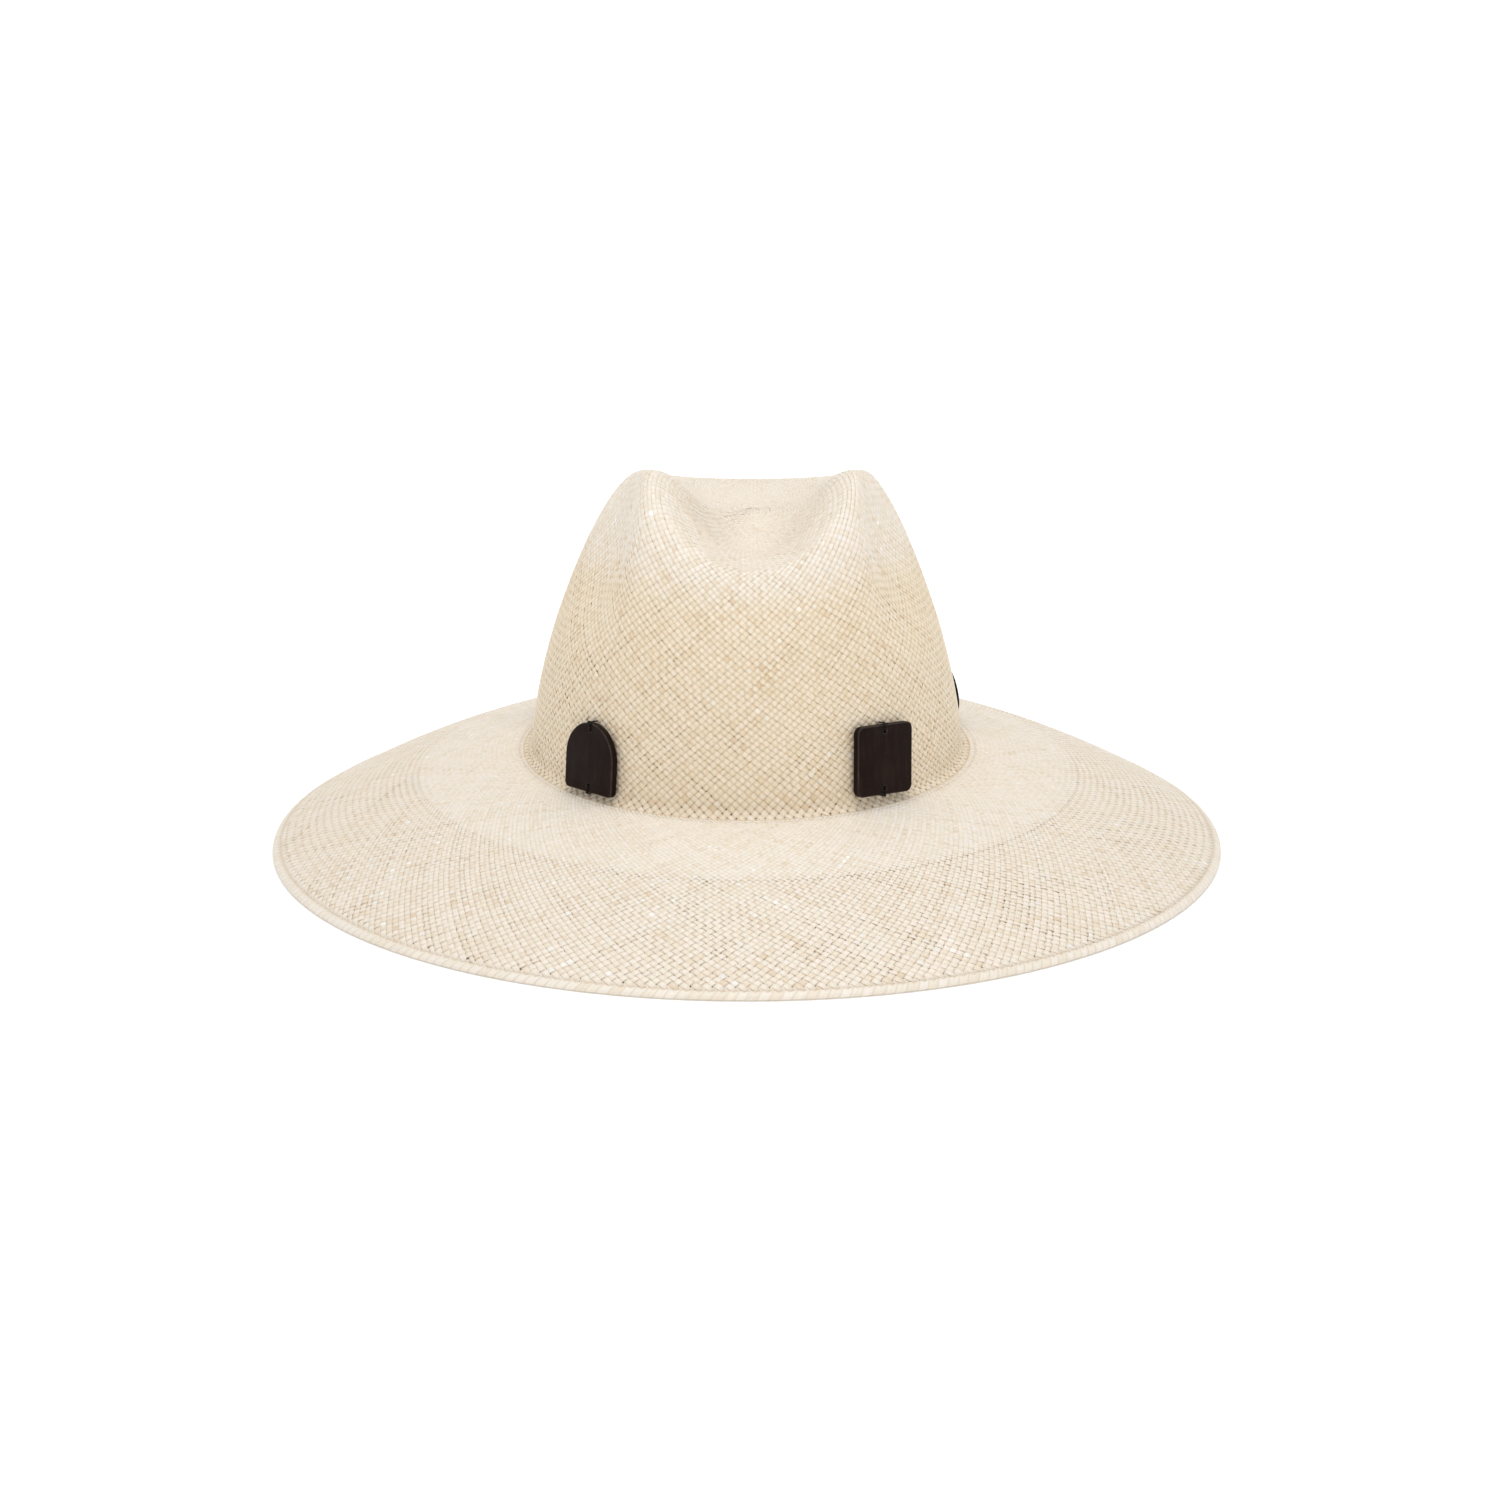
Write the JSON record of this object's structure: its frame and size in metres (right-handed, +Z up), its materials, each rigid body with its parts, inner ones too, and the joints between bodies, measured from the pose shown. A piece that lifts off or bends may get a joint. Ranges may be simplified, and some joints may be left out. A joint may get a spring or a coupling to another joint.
{
  "type": "panama hat",
  "caption": "Wide-brimmed panama hat: woven straw crown with teardrop dent and front pinches, sloping brim, ribbon sweatband, dark plates sewn round the crown.",
  "frame": {"origin": "on the table plane, under the middle of the hat's outline, where the brim's edge rests", "axes": "+Z up through the crown, -Y towards the hat's front, +X towards the wearer's left"},
  "size_m": [0.3816, 0.416, 0.1617],
  "materials": {
    "straw": "natural toquilla straw, plaited, matt to satin",
    "edge_straw": "the same straw, woven back on itself in a denser braid",
    "ribbon": "black grosgrain ribbon, ribbed, matt",
    "seam_thread": "black sewing thread",
    "horn": "very dark polished natural plate, satin, faint grain",
    "tie_thread": "waxed black thread, knotted"
  },
  "bodies": {
    "root": {"crown": "straw", "brim": "straw", "brim_edge": "edge_straw", "sweatband": "ribbon", "sweatband_bow": "ribbon", "sweatband_seam": "seam_thread", "plate_arch": "horn", "plate_square": "horn", "plate_circle": "horn", "plate_triangle": "horn", "plate_half_round": "horn", "tie_arch_top": "tie_thread", "tie_arch_bottom": "tie_thread", "tie_square_top": "tie_thread", "tie_square_bottom": "tie_thread", "tie_circle_top": "tie_thread", "tie_circle_bottom": "tie_thread", "tie_triangle_top": "tie_thread", "tie_triangle_bottom": "tie_thread", "tie_half_round_top": "tie_thread", "tie_half_round_bottom": "tie_thread"}
  },
  "joints": []
}
